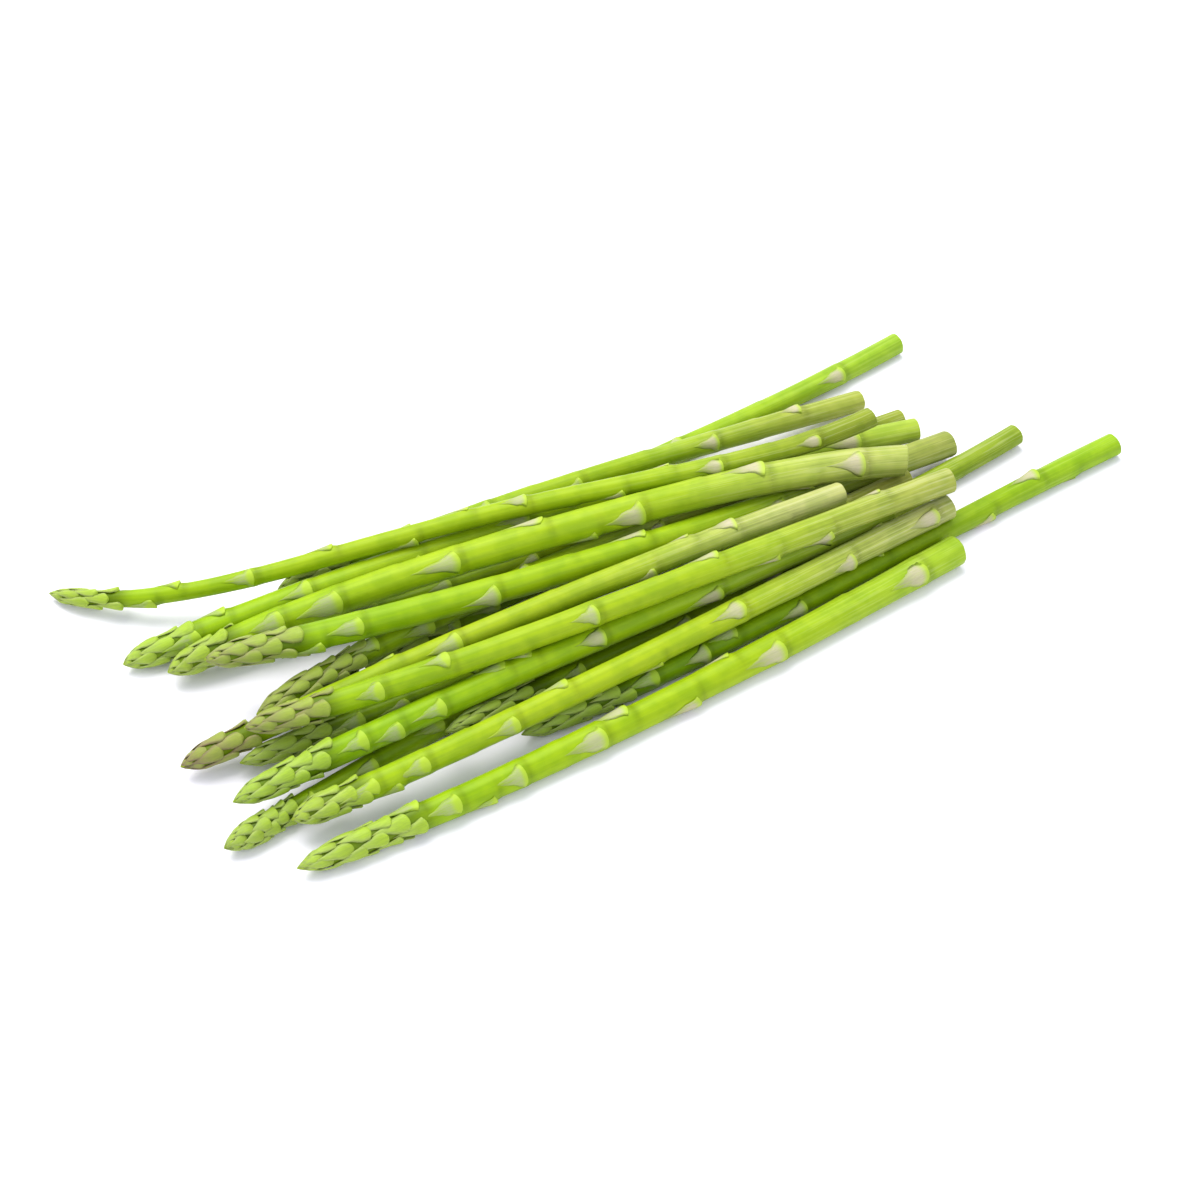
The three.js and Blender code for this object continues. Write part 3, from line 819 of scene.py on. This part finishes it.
# %% Finish of the bracts
def bract_material():
    """one is u, two is v, three a chance and four the share of the stem's length, which is
    its age. A membrane lies over the skin's green, pale green in young bracts and pinkish
    in old ones, with veins. In a young bract the fleshy base is broad and bright and the
    membrane begins at the flanks; in an old one it covers all but a thin rim."""
    m = start_material("asparagus bract", 2.2, 0.06)
    tree = m["tree"]
    age = math_node(tree, "ADD", math_node(tree, "MULTIPLY", m["four"], 1.3),
                    math_node(tree, "MULTIPLY", m["three"], 0.35))
    fleshy = ramp(tree, age, 0.15, 0.75, 0.24, 0.0)
    side = ramp(tree, math_node(tree, "ABSOLUTE", m["one"]), 0.2, 1.0)
    from_base = math_node(tree, "ADD", math_node(tree, "SUBTRACT", m["two"], fleshy),
                          math_node(tree, "MULTIPLY", side, fleshy))
    rim = ramp(tree, from_base, 0.02, 0.2)
    pale = blend(tree, ramp(tree, age, 0.4, 1.25), "b9c78c", "dacbb4")
    pale = blend(tree, ramp(tree, m["two"], 0.2, 0.9), pale, "a0a377")
    veins = math_node(tree, "MULTIPLY", m["streaks"], 0.4)
    pale = blend(tree, veins, pale, "9da56a")
    bright = blend(tree, 0.55, m["tone"], "c6e24e")
    flank = ramp(tree, math_node(tree, "ABSOLUTE", m["one"]), 0.55, 1.0, 1.0, 0.5)
    cover = math_node(tree, "MULTIPLY", flank, ramp(tree, m["two"], 0.3, 1.0, 0.92, 0.35))
    cover = math_node(tree, "MULTIPLY", cover, ramp(tree, age, 0.3, 1.0, 0.65, 0.95))
    ragged = math_node(tree, "ADD", ramp(tree, m["height"], 0.38, 0.62, -0.3, 0.3), cover)
    membrane = blend(tree, math_node(tree, "MINIMUM", ragged, 0.88, True), m["tone"], pale)
    colour = blend(tree, rim, bright, membrane)
    roughness = ramp(tree, m["two"], 0.0, 0.3, 0.38, 0.55)
    return finish_material(m, colour, roughness, 0.11, 0.15, 0.05)


FINISHES.append(bract_material())
print("finish:", FINISHES[1].name)

# %% Finish of the scales
def scale_material():
    """Fleshy green with a pale film at the flanks and towards the point, fine veins, and a
    purple tinge whose strength is the row's purple. one is u, two is v, four is purple."""
    m = start_material("asparagus scale", 2.2, 0.08)
    tree = m["tree"]
    belly = blend(tree, 0.4, m["tone"], "cbe45c")
    edge = ramp(tree, math_node(tree, "ABSOLUTE", m["one"]), 0.45, 1.0)
    film = math_node(tree, "MULTIPLY", ramp(tree, m["two"], 0.15, 0.7, 0.0, 0.4),
                     ramp(tree, m["height"], 0.4, 0.6, 0.5, 1.0))
    film = math_node(tree, "ADD", film, math_node(tree, "MULTIPLY", edge, 0.4), True)
    colour = blend(tree, film, belly, "b4c082")
    colour = blend(tree, math_node(tree, "MULTIPLY", m["streaks"], 0.35), colour, "86a244")
    tinged = math_node(tree, "ADD", ramp(tree, m["two"], 0.1, 1.0, 0.45, 1.0),
                       math_node(tree, "MULTIPLY", edge, 0.35))
    tinged = math_node(tree, "MULTIPLY", m["four"], tinged, True)
    colour = blend(tree, tinged, colour, "8a6c5e")
    tip = math_node(tree, "MULTIPLY", ramp(tree, m["two"], 0.72, 1.0), 0.5)
    colour = blend(tree, tip, colour, "8b8a58")
    roughness = ramp(tree, m["streaks"], 0.0, 1.0, 0.36, 0.48)
    return finish_material(m, colour, roughness, 0.12, 0.15)


FINISHES.append(scale_material())
print("finish:", FINISHES[2].name)

# %% Finish of the cut
def cut_material():
    """two is the share of the radius. A green ring under the skin, paler flesh inside, and
    dots of fibre bundles from a fine noise."""
    m = start_material("asparagus cut", 1.6, 1.0)
    tree = m["tree"]
    flesh = blend(tree, 0.55, m["tone"], "d9e2a2")
    ring = ramp(tree, m["two"], 0.72, 1.0)
    colour = blend(tree, ring, flesh, m["tone"])
    dots = math_node(tree, "MULTIPLY", m["streaks"], 0.35)
    colour = blend(tree, dots, colour, "8f9c4c")
    roughness = ramp(tree, m["streaks"], 0.0, 1.0, 0.45, 0.65)
    return finish_material(m, colour, roughness, 0.25, 0.18)


FINISHES.append(cut_material())
print("finish:", FINISHES[3].name)

# %% [markdown]
# ## One mesh a spear
# The patches of a spear are put one after the other into one mesh. What would leave the box
# of the spear's solid is pressed flat on its sides: underneath that is the flat on which the
# solid lies, and elsewhere no more than the crest of a bract. Rings that end in one point are
# merged there, so that the mesh is closed.

# %% From patches to a mesh
MERGE = 2e-6
SLIVER = 1e-7


def carry(mesh, name, kind, values):
    """A named attribute with one value a point."""
    layer = mesh.attributes.new(name, kind, "POINT")
    key = {"FLOAT_VECTOR": "vector", "FLOAT_COLOR": "color", "FLOAT": "value"}[kind]
    layer.data.foreach_set(key, values.astype(np.float32).ravel())


def build_mesh(node, patches):
    """Joins the patches: points one after the other, and each patch's faces moved on by the
    number of points before it. Places go from millimetres to metres, round the middle, and
    are kept between the corners of the node's box."""
    starts = np.cumsum([0] + [len(p["points"]) for p in patches[:-1]])
    faces = np.concatenate([p["faces"] + s for p, s in zip(patches, starts)])
    points, flat, tone, marks, kinds = [np.concatenate([p[key] for p in patches])
                                        for key in ("points", "flat", "tone", "marks", "kind")]
    low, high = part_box(node)
    points = np.clip((points - (*MIDDLE, 0)) * MM, low, high)
    mesh = bpy.data.meshes.new(node + "_skin")
    mesh.vertices.add(len(points))
    mesh.vertices.foreach_set("co", points.astype(np.float32).ravel())
    mesh.loops.add(faces.size)
    mesh.loops.foreach_set("vertex_index", faces.astype(np.int32).ravel())
    mesh.polygons.add(len(faces))
    mesh.polygons.foreach_set("loop_start", np.arange(len(faces), dtype=np.int32) * 4)
    mesh.polygons.foreach_set("material_index", kinds)
    mesh.update(calc_edges=True)
    carry(mesh, "straight", "FLOAT_VECTOR", flat)
    carry(mesh, "tone", "FLOAT_COLOR", np.c_[tone, np.ones(len(tone))])
    carry(mesh, "marks", "FLOAT_VECTOR", marks[:, :3])
    carry(mesh, "extra", "FLOAT", marks[:, 3])
    for finish in FINISHES:
        mesh.materials.append(finish)
    return mesh


def close_points(mesh):
    """Merges points that are less than MERGE metres apart, takes out faces that are thinner
    than SLIVER, and smooths the shading."""
    work = bmesh.new()
    work.from_mesh(mesh)
    bmesh.ops.remove_doubles(work, verts=work.verts, dist=MERGE)
    bmesh.ops.dissolve_degenerate(work, edges=work.edges, dist=SLIVER)
    for face in work.faces:
        face.smooth = True
    work.to_mesh(mesh)
    work.free()


print("points closer than", MERGE * 1000, "mm are merged")

# %% Build the spears
total = 0
for i, (row, axis) in enumerate(zip(SPEARS, axes)):
    node = "spear_%02d" % (i + 1)
    body, radius = stem(row, axis, i + 1)
    ends = caps(row, axis, radius, i + 1)
    leafy = [bracts(row, axis, BRACT_SEED + i), scales(row, axis, i)]
    mesh = build_mesh(node, [body, *ends, *leafy])
    close_points(mesh)
    piece = bpy.data.objects.new(node + "_skin", mesh)
    bpy.context.scene.collection.objects.link(piece)
    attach(piece, "root")
    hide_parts(node)
    total += sum(len(p.vertices) - 2 for p in mesh.polygons)
print("triangles in all:", total)

# %% [markdown]
# ## Table, light and camera
# The bundle lies on a seamless white table in even studio light: a bright sky all round,
# which leaves only soft shadows, and two large lamps that give the stems their sheen.

# %% Table
FAR = 6
PAPER = (0.90, 0.87, 0.94, 1)
floor_mesh = bpy.data.meshes.new("table")
floor_mesh.from_pydata([(-FAR, -FAR, 0), (FAR, -FAR, 0), (FAR, FAR, 0), (-FAR, FAR, 0)],
                       [], [(0, 1, 2, 3)])
floor = bpy.data.objects.new("table", floor_mesh)
bpy.context.scene.collection.objects.link(floor)
paper = bpy.data.materials.new("white table")
paper.use_nodes = True
matt = paper.node_tree.nodes["Principled BSDF"]
matt.inputs["Base Color"].default_value = PAPER
matt.inputs["Roughness"].default_value = 0.8
floor_mesh.materials.append(paper)
print("table:", 2 * FAR, "m wide")

# %% Light
SKY = (0.90, 0.94, 1.0, 1)
world = bpy.data.worlds.new("studio")
world.use_nodes = True
sky = world.node_tree.nodes["Background"]
sky.inputs["Color"].default_value = SKY
sky.inputs["Strength"].default_value = 1.0
bpy.context.scene.world = world


def lamp(name, at, size, watts, colour):
    """A square area light that looks at the bundle: tilted by the arc cosine of its
    height, and turned to where it stands."""
    data = bpy.data.lights.new(name, "AREA")
    data.size = size
    data.energy = watts
    data.color = colour
    made = bpy.data.objects.new(name, data)
    made.location = at
    direction = np.array(at) / np.linalg.norm(at)
    made.rotation_euler = (math.acos(direction[2]), 0,
                           math.atan2(direction[1], direction[0]) + math.pi / 2)
    bpy.context.scene.collection.objects.link(made)


lamp("softbox", at=(-0.25, 0.45, 1.05), size=0.95, watts=17.0, colour=(1.0, 0.985, 0.96))
lamp("fill", at=(0.7, -0.9, 0.9), size=0.9, watts=3.5, colour=(0.95, 0.98, 1.0))
print("lamps:", len(bpy.data.lights))

# %% Camera
LENS = 88.5
SENSOR = 36
AWAY = 0.9
ELEVATION = math.radians(48)
look_at = np.array([-MIDDLE[0] * MM, -MIDDLE[1] * MM, 0])
camera_data = bpy.data.cameras.new("camera")
camera_data.lens = LENS
camera_data.sensor_width = SENSOR
camera = bpy.data.objects.new("camera", camera_data)
camera.location = look_at + AWAY * np.array([0, -math.cos(ELEVATION), math.sin(ELEVATION)])
camera.rotation_euler = (math.pi / 2 - ELEVATION, 0, 0)
bpy.context.scene.collection.objects.link(camera)
bpy.context.scene.camera = camera
bpy.context.scene.view_settings.view_transform = "Standard"
print("camera:", [round(float(c), 3) for c in camera.location])
